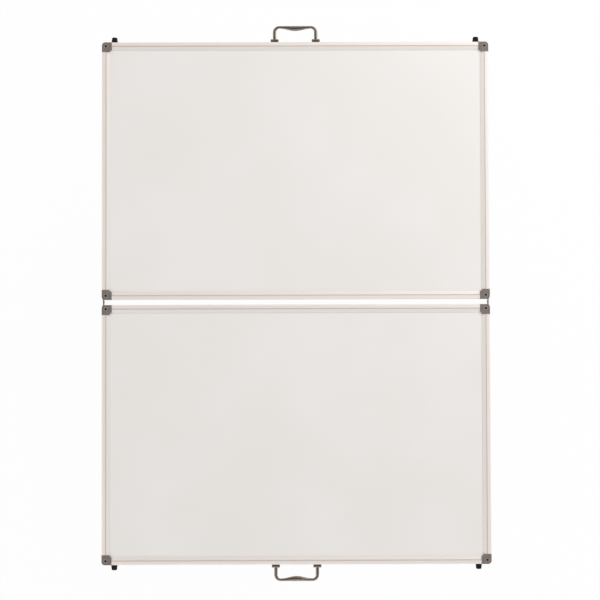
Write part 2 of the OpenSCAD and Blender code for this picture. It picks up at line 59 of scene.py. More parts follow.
# Hinge links: pivot from the hinge edge, link from the panel's side, link and washer thickness
PIVOT_IN, LINK_INSET, LINK_T, WASHER_T = 5.0, 2.4, 2.6, 1.0
# Clearance of pieces that slide into each other, and the radial one of pins in their bores
FIT_GAP, RUN_GAP = 0.15, 0.05
# Handles: distance between legs, height and pivot over the rail, then the bar, its eyes and pin
HANDLE_SPAN, HANDLE_RISE, HANDLE_PIVOT_H = 96.0, 39.0, 4.9
LEG_W, LEG_T, BEND_R = 8.2, 6.2, 15.0
GRIP_END_W, GRIP_MID_W, GRIP_MID_T = 6.0, 11.6, 10.4
PIN_D, EYE_D, EYE_LIP = 3.0, 6.6, 0.2
# Brackets: room beside a leg, cheek and base thickness, and a cheek's outer face from mid leg
LEG_CLEARANCE, CHEEK_T, BASE_T = 0.3, 4.6, 1.2
CHEEK_OUT = LEG_W / 2 + LEG_CLEARANCE + CHEEK_T
# Rivets of a bracket: the lower one behind mid thickness, the distance between them, and heights
RIVET_LOW, RIVET_PITCH = 1.0, 4.4
RIVET_HEIGHTS = (MID_Z - RIVET_LOW, MID_Z - RIVET_LOW + RIVET_PITCH)
# Feet: height, base and tip diameter, edge radius, their screw's seat, and middle from the side
FOOT_H, FOOT_BASE_D, FOOT_TIP_D, FOOT_EDGE_R = 12.0, 14.8, 12.0, 1.4
FOOT_SCREW_Z, FOOT_IN = 7.0, 28.8

LEFT, RIGHT = -1, 1
PANELS = {"front": -1, "rear": 1}
BOARD_OF = {"front": "front_board", "rear": "rear_board"}
HANDLE_OF = {"front": "front_handle", "rear": "rear_handle"}


# Solids

def turned(profile, steps=48, closed=False):
    """A solid turned about Z from (radius, height) points, with flat ends or as a closed ring."""
    bm = bmesh.new()
    points = [bm.verts.new((r, 0.0, z)) for r, z in profile]
    pairs = list(zip(points, points[1:])) + ([(points[-1], points[0])] if closed else [])
    lines = [bm.edges.new(pair) for pair in pairs]
    bmesh.ops.spin(bm, geom=points + lines, axis=(0, 0, 1), cent=(0, 0, 0), angle=math.tau,
                   steps=steps, use_merge=True, use_duplicate=False)
    open_edges = [e for e in bm.edges if e.is_boundary]
    if open_edges:
        bmesh.ops.holes_fill(bm, edges=open_edges, sides=0)
    bmesh.ops.recalc_face_normals(bm, faces=bm.faces)
    return bm


def stepped(*sections):
    """A turned rod of (diameter, length) sections, stacked up Z from the origin."""
    profile, z = [], 0.0
    for diameter, length in sections:
        profile += [(diameter / 2, z), (diameter / 2, z + length)]
        z += length
    return turned(profile)


def soften(bm, width, segments=2, sharper_than=30):
    """Rounds every edge that turns more than the given angle."""
    bm.normal_update()
    edges = [e for e in bm.edges
             if e.is_manifold and e.calc_face_angle(0.0) > math.radians(sharper_than)]
    bmesh.ops.bevel(bm, geom=edges, offset=width, offset_type="OFFSET", segments=segments,
                    profile=0.5, affect="EDGES", clamp_overlap=True, material=-1)
    return bm


def end_face(bm):
    """The flat face at the upper end of a turned solid."""
    return max((f for f in bm.faces if len(f.verts) > 4), key=lambda f: f.calc_center_median().z)


def cut_socket(bm, width, depth):
    """Sinks a hexagon socket, measured across its corners, into the upper end of a turned head."""
    face = end_face(bm)
    rim = max(v.co.xy.length for v in face.verts)
    bmesh.ops.inset_individual(bm, faces=[face], thickness=rim - width / 2)
    half_side = math.radians(30)
    near_corner = math.radians(1)
    spokes = []
    # The round rim is drawn in to the hexagon. Only the spokes that end in its corners stay
    for v in face.verts:
        turn = math.atan2(v.co.y, v.co.x) % (2 * half_side) - half_side
        reach = width / 2 * math.cos(half_side) / math.cos(turn)
        v.co.xy = v.co.xy.normalized() * reach
        if half_side - abs(turn) > near_corner:
            spokes += [e for e in v.link_edges if face not in e.link_faces]
    bmesh.ops.dissolve_edges(bm, edges=spokes, use_verts=True)
    made = bmesh.ops.extrude_face_region(bm, geom=[face, *face.edges])["geom"]
    moved = [g for g in made if isinstance(g, bmesh.types.BMVert)]
    bmesh.ops.translate(bm, vec=(0, 0, -depth), verts=moved)
    return bm


def shifted(bm, *matrices):
    """Moves a solid by each matrix in turn."""
    for matrix in matrices:
        bmesh.ops.transform(bm, matrix=matrix, verts=bm.verts)
    return bm


def copies(part, places):
    """One mesh with a copy of the part at each place. A mirrored copy has its faces turned back."""
    whole = bmesh.new()
    for place in places:
        one = part.copy()
        bmesh.ops.transform(one, matrix=place, verts=one.verts)
        if place.determinant() < 0:
            bmesh.ops.reverse_faces(one, faces=one.faces)
        mesh = bpy.data.meshes.new("copy")
        one.to_mesh(mesh)
        one.free()
        whole.from_mesh(mesh)
        bpy.data.meshes.remove(mesh)
    part.free()
    return whole


def loose_object(bm):
    """An object made from the mesh, which rides on nothing."""
    mesh = bpy.data.meshes.new("loose")
    bm.to_mesh(mesh)
    bm.free()
    made = bpy.data.objects.new("loose", mesh)
    scene.collection.objects.link(made)
    return made


def combined(operation, first, *others):
    """One closed skin: the first solid with the others added (UNION) or cut away (DIFFERENCE)."""
    body = loose_object(first)
    tools = [loose_object(bm) for bm in others]
    for tool in tools:
        step = body.modifiers.new("step", "BOOLEAN")
        step.operation, step.solver, step.object = operation, "EXACT", tool
    graph = bpy.context.evaluated_depsgraph_get()
    bm = bmesh.new()
    bm.from_mesh(body.evaluated_get(graph).to_mesh())
    for made in [body, *tools]:
        mesh = made.data
        bpy.data.objects.remove(made)
        bpy.data.meshes.remove(mesh)
    return bm


def cad_copy(node):
    """The CAD solid in millimetres, with its loose triangles merged."""
    bm = bmesh.new()
    bm.from_mesh(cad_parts[node].data)
    bmesh.ops.scale(bm, vec=(1 / MM,) * 3, verts=bm.verts)
    bmesh.ops.remove_doubles(bm, verts=bm.verts, dist=SAME_POINT)
    return flattened(bm)


def flattened(bm):
    """Makes each flat of a triangulated solid one face."""
    level = math.radians(0.5)
    bmesh.ops.dissolve_limit(bm, angle_limit=level, verts=bm.verts, edges=bm.edges)
    return bm


# Edges that turn more than this are shaded sharp
SHARP_EDGE = math.radians(38)


def piece(name, bm, material, body, slot, *nodes):
    """Puts a finished mesh, given in millimetres, on its body in place of its CAD nodes."""
    bmesh.ops.scale(bm, vec=(MM,) * 3, verts=bm.verts)
    mesh = bpy.data.meshes.new(name)
    bm.to_mesh(mesh)
    bm.free()
    mesh.polygons.foreach_set("use_smooth", [True] * len(mesh.polygons))
    mesh.set_sharp_from_angle(angle=SHARP_EDGE)
    mesh.materials.append(material)
    made = bpy.data.objects.new(name, mesh)
    scene.collection.objects.link(made)
    made.modifiers.new("flat_faces", "WEIGHTED_NORMAL").keep_sharp = True
    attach(made, body)
    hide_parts(*nodes)


# Places

ALONG_X = Matrix(((0, 0, 1, 0), (1, 0, 0, 0), (0, 1, 0, 0), (0, 0, 0, 1)))
ALONG_Y = Matrix.Rotation(math.radians(-90), 4, "X")


def at_corner(panel, edge, side):
    """A corner's own frame: X runs inward from the side, Y inward from the hinge or free edge."""
    inward = panel if edge == "hinge" else -panel
    start = HINGE_Y if edge == "hinge" else FREE_Y
    return (Matrix.Translation((side * PANEL_W / 2, panel * start, 0))
            @ Matrix.Diagonal((-side, inward, 1, 1)))


def at_free_edge(panel, x, z):
    """A frame on the free edge, with Y outward."""
    return Matrix.Translation((x, panel * FREE_Y, z)) @ Matrix.Diagonal((1, panel, 1, 1))


# Materials

def linear(code):
    """sRGB hex to linear colour, by the sRGB curve."""
    parts = [int(code[i:i + 2], 16) / 255 for i in (1, 3, 5)]
    return (*(c / 12.92 if c <= 0.04045 else ((c + 0.055) / 1.055) ** 2.4 for c in parts), 1.0)


def add(tree, kind, inputs=None, **settings):
    """Adds a node with its settings and links. An input is a plain value, or what feeds it: another
    node's output, or a node, which stands for its first output in use."""
    made = tree.nodes.new(kind)
    for key, value in settings.items():
        setattr(made, key, value)
    for key, value in (inputs or {}).items():
        if isinstance(value, bpy.types.Node):
            value = next(output for output in value.outputs if output.enabled)
        if isinstance(value, bpy.types.NodeSocket):
            tree.links.new(value, made.inputs[key])
        else:
            made.inputs[key].default_value = value
    return made


def blank_material(name):
    """A new material, and its empty node tree."""
    material = bpy.data.materials.new(name)
    material.use_nodes = True
    material.node_tree.nodes.clear()
    return material, material.node_tree


def start(name):
    """A new material, its node tree, and the object's own coordinates in metres."""
    material, tree = blank_material(name)
    return material, tree, add(tree, "ShaderNodeTexCoord").outputs["Object"]


def surface(material, colour, roughness, height, depth_mm, shader_inputs):
    """Ends a material: its shader takes the colour, the roughness and a relief of a real depth."""
    tree = material.node_tree
    relief = add(tree, "ShaderNodeBump", {
        "Height": height, "Distance": depth_mm * MM, "Strength": 1.0})
    shader = add(tree, "ShaderNodeBsdfPrincipled", {
        "Base Color": colour, "Roughness": roughness, "Normal": relief, **shader_inputs})
    add(tree, "ShaderNodeOutputMaterial", {"Surface": shader})
    return material


def across(*sizes_mm):
    """The scale of a texture whose features are this many millimetres across. Three sizes, for X, Y
    and Z, give the three scales of a Mapping node."""
    scales = [1 / (size * MM) for size in sizes_mm]
    return scales if len(scales) == 3 else scales[0]


# Most of a noise lies between these two values
SPREAD = {"From Min": 0.35, "From Max": 0.65}


def baked_enamel():
    """Steel sheet roller-coated with white enamel and baked. The film is smooth and dense, so the
    eye sees an even off-white with a soft sheen, a hint of cloudiness, and faint wipe marks in the
    gloss."""
    material, tree, place = start("white_baked_enamel")
    clouds = add(tree, "ShaderNodeTexNoise", {"Vector": place, "Scale": across(260), "Detail": 2})
    arm_sweep = add(tree, "ShaderNodeMapping", {"Vector": place, "Scale": across(300, 110, 110)})
    wipes = add(tree, "ShaderNodeTexNoise", {"Vector": arm_sweep, "Scale": 1, "Detail": 3})
    peel = add(tree, "ShaderNodeTexNoise", {"Vector": place, "Scale": across(2.5), "Detail": 1})
    share = add(tree, "ShaderNodeMapRange", {"Value": clouds, **SPREAD})
    white = add(tree, "ShaderNodeMix", {
        "Factor": share, "A": linear("#eae6e2"), "B": linear("#ece9e6")}, data_type="RGBA")
    roughness = add(tree, "ShaderNodeMapRange", {
        "Value": wipes, **SPREAD, "To Min": 0.29, "To Max": 0.33})
    return surface(material, white, roughness, peel, 0.002, {"IOR": 1.5})


def fibre_board():
    """Wood fibre pressed hot into a stiff sheet: matt brown, flecked by short fibres."""
    material, tree, place = start("pressed_wood_fibre")
    lengthwise = add(tree, "ShaderNodeMapping", {"Vector": place, "Scale": across(3.0, 0.5, 0.5)})
    fibres = add(tree, "ShaderNodeTexNoise", {"Vector": lengthwise, "Scale": 1, "Detail": 4})
    share = add(tree, "ShaderNodeMapRange", {"Value": fibres, **SPREAD})
    brown = add(tree, "ShaderNodeMix", {
        "Factor": share, "A": linear("#9a8263"), "B": linear("#c3ab88")}, data_type="RGBA")
    roughness = add(tree, "ShaderNodeMapRange", {
        "Value": fibres, **SPREAD, "To Min": 0.8, "To Max": 0.95})
    return surface(material, brown, roughness, fibres, 0.05, {"IOR": 1.47})


def galvanised_steel():
    """Steel strip dipped in zinc and skin-passed: a cool grey with crystals about 8 mm across that
    differ a little in tone and gloss, and fine rolling lines."""
    material, tree, place = start("galvanised_steel")
    crystals = add(tree, "ShaderNodeTexVoronoi", {"Vector": place, "Scale": across(8)})
    tone = add(tree, "ShaderNodeSeparateColor", {"Color": crystals.outputs["Color"]}).outputs["Red"]
    rolling = add(tree, "ShaderNodeMapping", {"Vector": place, "Scale": across(180, 0.9, 0.9)})
    rolled = add(tree, "ShaderNodeTexNoise", {"Vector": rolling, "Scale": 1, "Detail": 3})
    grey = add(tree, "ShaderNodeMix", {
        "Factor": tone, "A": linear("#b2b4b4"), "B": linear("#c6c8c9")}, data_type="RGBA")
    roughness = add(tree, "ShaderNodeMapRange", {"Value": tone, "To Min": 0.36, "To Max": 0.5})
    return surface(material, grey, roughness, rolled, 0.004, {"Metallic": 1.0})


def groove_floor(tree, place):
    """1 on the floor of a rail's groove, front and back, where dust and polish stay and where the
    colour is painted darker as painted shade. While the boards lie flat it faces straight up or
    down, which tells it from the sloping lip beside it."""
    height = add(tree, "ShaderNodeSeparateXYZ", {"Vector": place}).outputs["Z"]
    facing = add(tree, "ShaderNodeNewGeometry").outputs["Normal"]
    upright = add(tree, "ShaderNodeSeparateXYZ", {"Vector": facing}).outputs["Z"]
    near, level = 0.4, 0.99   # in millimetres, and as a cosine
    above_middle = add(tree, "ShaderNodeMath", {0: height, 1: MID_Z * MM}, operation="SUBTRACT")
    from_middle = add(tree, "ShaderNodeMath", {0: above_middle}, operation="ABSOLUTE")
    is_deep = add(tree, "ShaderNodeMath", {
        0: from_middle, 1: GROOVE_FLOOR * MM, 2: near * MM}, operation="COMPARE")
    flatness = add(tree, "ShaderNodeMath", {0: upright}, operation="ABSOLUTE")
    is_level = add(tree, "ShaderNodeMath", {0: flatness, 1: level}, operation="GREATER_THAN")
    return add(tree, "ShaderNodeMath", {0: is_deep, 1: is_level}, operation="MULTIPLY")


def anodised_aluminium(name, lines_mm):
    """Extruded aluminium, etched and clear anodised. The sealed oxide film scatters part of the
    light, so the eye sees a pale warm satin. The groove's floor is painted darker: painted shade in
    the recess, together with the dust that lies there. The die leaves fine lines along the rail.
    They are under 0.1 mm apart, and are drawn 0.6 mm apart to show."""
    material, tree, place = start(name)
    drawn = add(tree, "ShaderNodeMapping", {"Vector": place, "Scale": across(*lines_mm)})
    die_lines = add(tree, "ShaderNodeTexNoise", {
        "Vector": drawn, "Scale": 1, "Detail": 4, "Roughness": 0.6})
    etch = add(tree, "ShaderNodeTexNoise", {"Vector": place, "Scale": across(0.4), "Detail": 2})
    share = add(tree, "ShaderNodeMapRange", {"Value": die_lines, **SPREAD})
    metal = add(tree, "ShaderNodeMix", {
        "Factor": share, "A": linear("#efe7e2"), "B": linear("#f4ede8")}, data_type="RGBA")
    # The groove floor is painted darker: painted shade in the recess, with dust
    dust_and_shade = add(tree, "ShaderNodeMix", {
        "Factor": groove_floor(tree, place), "A": metal, "B": linear("#dbd1c8")}, data_type="RGBA")
    roughness = add(tree, "ShaderNodeMapRange", {
        "Value": die_lines, **SPREAD, "To Min": 0.55, "To Max": 0.61})
    height = add(tree, "ShaderNodeMix", {"Factor": 0.3, "A": die_lines, "B": etch})
    return surface(material, dust_and_shade, roughness, height, 0.006, {"Metallic": 0.55})


def moulded_abs():
    """ABS injection moulded in a spark-eroded tool: warm mid grey, evenly matt, with a 0.3 mm grain
    and a slight sheen where the edges are rounded. The raised ring round the screw was polished in
    the tool, so it is smoother than the rest; its top is painted paler, a painted highlight."""
    material, tree, place = start("grained_grey_abs")
    flow = add(tree, "ShaderNodeTexNoise", {"Vector": place, "Scale": across(9), "Detail": 3})
    spark = add(tree, "ShaderNodeTexNoise", {"Vector": place, "Scale": across(0.3), "Detail": 2})
    height = add(tree, "ShaderNodeSeparateXYZ", {"Vector": place}).outputs["Z"]
    ring_foot, ring_top = CAP_T + RING_H / 4, CAP_T + RING_H * 3 / 4
    ring = add(tree, "ShaderNodeMapRange", {
        "Value": height, "From Min": ring_foot * MM, "From Max": ring_top * MM})
    share = add(tree, "ShaderNodeMapRange", {"Value": flow, **SPREAD})
    grey = add(tree, "ShaderNodeMix", {
        "Factor": share, "A": linear("#70665f"), "B": linear("#7b716c")}, data_type="RGBA")
    # The top of the raised ring is painted paler: a painted highlight
    ring_painted_highlight = add(tree, "ShaderNodeMix", {
        "Factor": ring, "A": grey, "B": linear("#877c75")}, data_type="RGBA")
    matt = add(tree, "ShaderNodeMapRange", {
        "Value": spark, **SPREAD, "To Min": 0.42, "To Max": 0.58})
    roughness = add(tree, "ShaderNodeMix", {"Factor": ring, "A": matt, "B": 0.36})
    return surface(material, ring_painted_highlight, roughness, spark, 0.02, {"IOR": 1.54})


def cast_zinc():
    """Zinc pressure-cast and tumbled: dull light grey with soft blotches."""
    material, tree, place = start("cast_zinc")
    blotches = add(tree, "ShaderNodeTexNoise", {"Vector": place, "Scale": across(4), "Detail": 4})
    share = add(tree, "ShaderNodeMapRange", {"Value": blotches, **SPREAD})
    grey = add(tree, "ShaderNodeMix", {
        "Factor": share, "A": linear("#9a9a9b"), "B": linear("#b0b0b0")}, data_type="RGBA")
    roughness = add(tree, "ShaderNodeMapRange", {
        "Value": blotches, **SPREAD, "To Min": 0.42, "To Max": 0.6})
    return surface(material, grey, roughness, blotches, 0.03, {"Metallic": 1.0})


def black_oxide_steel():
    """Screw steel, blackened and oiled: near black with a brown cast and a low gloss."""
    material, tree, place = start("black_oxide_steel")
    film = add(tree, "ShaderNodeTexNoise", {"Vector": place, "Scale": across(0.8), "Detail": 3})
    share = add(tree, "ShaderNodeMapRange", {"Value": film, **SPREAD})
    black = add(tree, "ShaderNodeMix", {
        "Factor": share, "A": linear("#221918"), "B": linear("#352928")}, data_type="RGBA")
    roughness = add(tree, "ShaderNodeMapRange", {
        "Value": film, **SPREAD, "To Min": 0.34, "To Max": 0.5})
    return surface(material, black, roughness, film, 0.004, {"Metallic": 1.0})


def moulded_rubber():
    """Natural rubber, moulded and left matt: black, with a fine pebble grain and a dusty bloom."""
    material, tree, place = start("black_moulded_rubber")
    bloom = add(tree, "ShaderNodeTexNoise", {"Vector": place, "Scale": across(5), "Detail": 4})
    pebble = add(tree, "ShaderNodeTexNoise", {"Vector": place, "Scale": across(0.45), "Detail": 2})
    share = add(tree, "ShaderNodeMapRange", {"Value": bloom, **SPREAD})
    black = add(tree, "ShaderNodeMix", {
        "Factor": share, "A": linear("#0c0605"), "B": linear("#170f0c")}, data_type="RGBA")
    roughness = add(tree, "ShaderNodeMapRange", {
        "Value": pebble, **SPREAD, "To Min": 0.6, "To Max": 0.8})
    return surface(material, black, roughness, pebble, 0.03,
                   {"IOR": 1.52, "Specular IOR Level": 0.22})


def dark_nickel(name, low, high):
    """Cast and polished, then plated with dark nickel: a brown-grey mirror gone slightly soft, with
    the fine lines of the polishing wheel and a touch of tarnish."""
    material, tree, place = start(name)
    tarnish = add(tree, "ShaderNodeTexNoise", {"Vector": place, "Scale": across(6), "Detail": 4})
    wheel = add(tree, "ShaderNodeMapping", {"Vector": place, "Scale": across(12, 0.35, 0.35)})
    polish = add(tree, "ShaderNodeTexNoise", {"Vector": wheel, "Scale": 1, "Detail": 3})
    share = add(tree, "ShaderNodeMapRange", {"Value": tarnish, **SPREAD})
    plate = add(tree, "ShaderNodeMix", {
        "Factor": share, "A": linear(low), "B": linear(high)}, data_type="RGBA")
    roughness = add(tree, "ShaderNodeMapRange", {
        "Value": polish, **SPREAD, "To Min": 0.16, "To Max": 0.26})
    return surface(material, plate, roughness, polish, 0.0015, {"Metallic": 1.0})


def zinc_plate(name, low, high):
    """Stamped or turned steel, zinc plated: a soft silver grey with tumbling marks."""
    material, tree, place = start(name)
    marks = add(tree, "ShaderNodeTexNoise", {"Vector": place, "Scale": across(1.2), "Detail": 4})
    share = add(tree, "ShaderNodeMapRange", {"Value": marks, **SPREAD})
    plate = add(tree, "ShaderNodeMix", {
        "Factor": share, "A": linear(low), "B": linear(high)}, data_type="RGBA")
    roughness = add(tree, "ShaderNodeMapRange", {
        "Value": marks, **SPREAD, "To Min": 0.3, "To Max": 0.46})
    return surface(material, plate, roughness, marks, 0.006, {"Metallic": 1.0})


ENAMEL = baked_enamel()
CORE = fibre_board()
BACK = galvanised_steel()
RAIL_X = anodised_aluminium("anodised_aluminium_long_rail", (300, 0.6, 0.6))
RAIL_Y = anodised_aluminium("anodised_aluminium_side_rail", (0.6, 300, 0.6))
CAP = moulded_abs()
KEY = cast_zinc()
BLACK_STEEL = black_oxide_steel()
RUBBER = moulded_rubber()
HANDLE = dark_nickel("dark_nickel_handle", "#82776e", "#958a81")
BRACKET = dark_nickel("dark_nickel_bracket", "#857970", "#a0968d")
LINK = zinc_plate("zinc_plated_link", "#a1978c", "#b3a99e")
BRIGHT = zinc_plate("zinc_plated_fastener", "#a8a6a3", "#c0beba")


# CAD nodes that stay

def finish_node(name, material):
    """Gives a CAD node its material."""
    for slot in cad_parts[name].material_slots:
        slot.material = material


for prefix in PANELS:
    finish_node(f"{prefix}_face_sheet", ENAMEL)
    finish_node(f"{prefix}_core_board", CORE)
    finish_node(f"{prefix}_back_sheet", BACK)
    finish_node(f"{prefix}_outer_rail", RAIL_X)
    finish_node(f"{prefix}_hinge_rail", RAIL_X)
    finish_node(f"{prefix}_left_rail", RAIL_Y)
    finish_node(f"{prefix}_right_rail", RAIL_Y)
    finish_node(f"{prefix}_outer_corner_keys", KEY)
    finish_node(f"{prefix}_hinge_corner_keys", KEY)


# Corner caps and their screws

def cap_moulding(node, corner):
    """The cap, with a sunk channel round its raised ring and all its edges rounded by the mould."""
    inner_r, floor_inner_r, floor_outer_r, outer_r, depth, above = 5.7, 6.1, 6.5, 7.0, 0.5, 1.0
    channel = turned([(inner_r, CAP_T + above), (inner_r, CAP_T), (floor_inner_r, CAP_T - depth),
                      (floor_outer_r, CAP_T - depth), (outer_r, CAP_T), (outer_r, CAP_T + above)],
                     steps=64, closed=True)
    shifted(channel, Matrix.Translation((CAP_SCREW_IN, CAP_SCREW_IN, 0)))
    cut = combined("DIFFERENCE", cad_copy(node), copies(channel, [corner]))
    moulded = soften(flattened(cut), width=0.2)
    # The two rounded edges of the channel's floor meet in one line
    bmesh.ops.remove_doubles(moulded, verts=moulded.verts, dist=SAME_POINT)
    return moulded


def cap_screw():
    """Socket head screw, sunk in the raised ring of a cap."""
    head_d, head_h, head_sink, shank_d, tip_in = 5.0, 1.7, 0.7, 3.0, 1.0
    tip = MID_Z - KEY_T / 2 + tip_in
    top = CAP_T + RING_H - head_sink
    screw = stepped((shank_d, top - head_h - tip), (head_d, head_h))
    cut_socket(screw, width=2.5, depth=1.1)
    soften(screw, width=0.12)
    return shifted(screw, Matrix.Translation((CAP_SCREW_IN, CAP_SCREW_IN, tip)))


for prefix, panel in PANELS.items():
    board = BOARD_OF[prefix]
    for edge, word in (("free", "outer"), ("hinge", "hinge")):
        for side, hand in ((LEFT, "left"), (RIGHT, "right")):
            node = f"{prefix}_{word}_{hand}_cap"
            moulding = cap_moulding(node, at_corner(panel, edge, side))
            piece(f"{node}_moulding", moulding, CAP, board, "cap", node)
    corners = [at_corner(panel, edge, side) for edge in ("free", "hinge") for side in (LEFT, RIGHT)]
    piece(f"{prefix}_cap_socket_screws", copies(cap_screw(), corners), BLACK_STEEL, board,
          "black_screw", f"{prefix}_cap_screws")


# Hinge links

def shoulder_screw():
    """Low head, a ground shoulder that the link turns on, and the thread."""
    head_d, head_h, shoulder_d, thread_d, thread_len = 8.4, 1.9, 5.0, 4.0, 12.0
    head_foot = LINK_INSET - FIT_GAP
    shoulder_len = FIT_GAP + LINK_T + FIT_GAP + WASHER_T
    screw = stepped((thread_d, thread_len), (shoulder_d, shoulder_len), (head_d, head_h))
    cut_socket(screw, width=3.0, depth=1.2)
    soften(screw, width=0.2)
    # It is turned with its head up Z, and goes in with its head at the panel's side
    inward = Matrix.Diagonal((1, 1, -1, 1))
    point = head_foot + shoulder_len + thread_len
    shifted(screw, inward, Matrix.Translation((0, 0, point)))
    bmesh.ops.reverse_faces(screw, faces=screw.faces)
    return shifted(screw, ALONG_X, Matrix.Translation((0, PIVOT_IN, MID_Z)))


def link_washer():
    """Flat washer between a link and the floor of its recess."""
    bore_r, rim_r = 2.55, 4.2
    ring = turned([(bore_r, 0), (rim_r, 0), (rim_r, WASHER_T), (bore_r, WASHER_T)], closed=True)
    soften(ring, width=0.15)
    recess_depth = LINK_INSET + LINK_T + FIT_GAP + WASHER_T
    return shifted(ring, ALONG_X, Matrix.Translation((recess_depth - WASHER_T, PIVOT_IN, MID_Z)))


for prefix, panel in PANELS.items():
    board = BOARD_OF[prefix]
    corners = [at_corner(panel, "hinge", side) for side in (LEFT, RIGHT)]
    piece(f"{prefix}_shoulder_screws", copies(shoulder_screw(), corners), BRIGHT, board,
          "bright_fastener", f"{prefix}_link_screws")
    piece(f"{prefix}_pivot_washers", copies(link_washer(), corners), BRIGHT, board,
          "bright_fastener", f"{prefix}_link_washers")
for node in ("left_hinge_link", "right_hinge_link"):
    piece(f"{node}_stamping", soften(cad_copy(node), width=0.3), LINK, "hinge_links", "link", node)


# Feet

def foot():
    """Tapered rubber buffer with a rounded tip, a sunk screw hole and a moulding line round it."""
    base_r, tip_r = FOOT_BASE_D / 2, FOOT_TIP_D / 2
    bore_r, hole_r, hole_z = 1.9, 3.15, FOOT_SCREW_Z
    line_z, line_w, line_depth = 3.2, 0.5, 0.3

    def side(z):
        return base_r - (base_r - tip_r) * z / FOOT_H

    def on_rim(v):
        hair = 1e-4
        return abs(v.co.z - FOOT_H) < hair and v.co.xy.length > (hole_r + tip_r) / 2

    body = turned([
        (bore_r, 0), (side(0), 0), (side(line_z), line_z),
        (side(line_z) - line_depth, line_z + line_w / 2),
        (side(line_z + line_w), line_z + line_w), (tip_r, FOOT_H), (hole_r, FOOT_H),
        (hole_r, hole_z), (bore_r, hole_z)
    ], steps=64, closed=True)
    rim = [e for e in body.edges if all(on_rim(v) for v in e.verts)]
    bmesh.ops.bevel(body, geom=rim, offset=FOOT_EDGE_R, offset_type="OFFSET", segments=6,
                    profile=0.5, affect="EDGES", clamp_overlap=True, material=-1)
    return soften(body, width=0.15, sharper_than=50)


def foot_screw():
    """Socket head screw, from the foot's hole through the rail into the corner key."""
    shank_d, head_d, head_h, tip_in = 3.5, 6.0, 2.0, 1.0
    tip = tip_in - KEY_INNER
    screw = stepped((shank_d, FOOT_SCREW_Z - tip), (head_d, head_h))
    cut_socket(screw, width=3.0, depth=1.0)
    soften(screw, width=0.2)
    return shifted(screw, Matrix.Translation((0, 0, tip)))


for prefix, panel in PANELS.items():
    board = BOARD_OF[prefix]
    seats = {side: at_free_edge(panel, side * (PANEL_W / 2 - FOOT_IN), MID_Z) @ ALONG_Y
             for side in (LEFT, RIGHT)}
    for side, hand in ((LEFT, "left"), (RIGHT, "right")):
        piece(f"{prefix}_{hand}_rubber_foot", copies(foot(), [seats[side]]), RUBBER, board, "foot",
              f"{prefix}_{hand}_foot")
    piece(f"{prefix}_foot_socket_screws", copies(foot_screw(), seats.values()), BRIGHT, board,
          "bright_fastener", f"{prefix}_foot_screws")


# Handles

def station(centre, outward, half_w, half_t):
    """Place of one ring of the handle's bar, from a unit circle."""
    ahead = Vector((outward[1], -outward[0], 0))
    out = Vector((*outward, 0)) * half_w
    middle = Vector((*centre, 0)) - out
    basis = Matrix((out, Vector((0, 0, 1)) * half_t, ahead)).transposed().to_4x4()
    return Matrix.Translation(middle) @ basis


def bar_stations():
    """Rings along the outer edge of the bar: left leg, bend, swollen grip, bend, right leg."""
    leg_rings, bend_rings, grip_rings = 3, 8, 24
    neck_thinning, over_pin = 1.4, 0.4
    side = EYE_LIP - HANDLE_SPAN / 2 - LEG_W / 2
    leg_half, root_t = LEG_W / 2 - EYE_LIP, LEG_T - neck_thinning
    root_y, bend_y = HANDLE_PIVOT_H + PIN_D / 2 + over_pin, HANDLE_RISE - BEND_R
    half = []
    for i in range(leg_rings):
        f = i / leg_rings
        thick = root_t + (LEG_T - root_t) * math.sqrt(f)
        half.append(((side, root_y + (bend_y - root_y) * f), (-1, 0), leg_half, thick / 2))
    for i in range(bend_rings):
        f = i / bend_rings
        out = (-math.cos(math.radians(90 * f)), math.sin(math.radians(90 * f)))
        spot = (side + BEND_R * (1 + out[0]), bend_y + BEND_R * out[1])
        half.append((spot, out, leg_half + (GRIP_END_W / 2 - leg_half) * f, LEG_T / 2))
    grip = []
    for i in range(grip_rings + 1):
        f = i / grip_rings
        swell = (1 - math.cos(math.tau * f)) / 2
        x = (side + BEND_R) * (1 - 2 * f)
        wide = GRIP_END_W + (GRIP_MID_W - GRIP_END_W) * swell
        thick = LEG_T + (GRIP_MID_T - LEG_T) * swell
        grip.append(((x, HANDLE_RISE), (0, 1), wide / 2, thick / 2))
    back = [((-x, y), (-out_x, out_y), wide, thick)
            for (x, y), (out_x, out_y), wide, thick in reversed(half)]
    return [station(*s) for s in half + grip + back]


def handle_bar():
    """The bar, drawn out ring by ring from a circle."""
    places = bar_stations()
    bm = bmesh.new()
    bmesh.ops.create_circle(bm, cap_ends=True, segments=24, radius=1.0)
    shifted(bm, places[0])
    loop = [e for e in bm.edges if e.is_boundary]
    for before, after in zip(places, places[1:]):
        made = bmesh.ops.extrude_edge_only(bm, edges=loop)["geom"]
        verts = [g for g in made if isinstance(g, bmesh.types.BMVert)]
        loop = [g for g in made if isinstance(g, bmesh.types.BMEdge)
                and all(v in verts for v in g.verts)]
        bmesh.ops.transform(bm, matrix=after @ before.inverted(), verts=verts)
    bmesh.ops.holes_fill(bm, edges=loop, sides=0)
    bmesh.ops.recalc_face_normals(bm, faces=bm.faces)
    return bm


def handle_eye(side):
    """The eye at the foot of a leg, bored for the pin."""
    bore_r, rim_r = PIN_D / 2 + RUN_GAP, EYE_D / 2
    ring = turned([(bore_r, 0), (rim_r, 0), (rim_r, LEG_W), (bore_r, LEG_W)], closed=True)
    soften(ring, width=0.3)
    return shifted(ring, ALONG_X, Matrix.Translation(
        (side * HANDLE_SPAN / 2 - LEG_W / 2, HANDLE_PIVOT_H, 0)))


def handle_pin():
    """Pin with both ends upset into low domes."""
    dome_d, dome_h = PIN_D + 0.8, 0.5
    pin = stepped((dome_d, dome_h), (PIN_D, 2 * CHEEK_OUT), (dome_d, dome_h))
    soften(pin, width=0.18, segments=4, sharper_than=60)
    return shifted(pin, ALONG_X, Matrix.Translation((-CHEEK_OUT - dome_h, HANDLE_PIVOT_H, 0)))


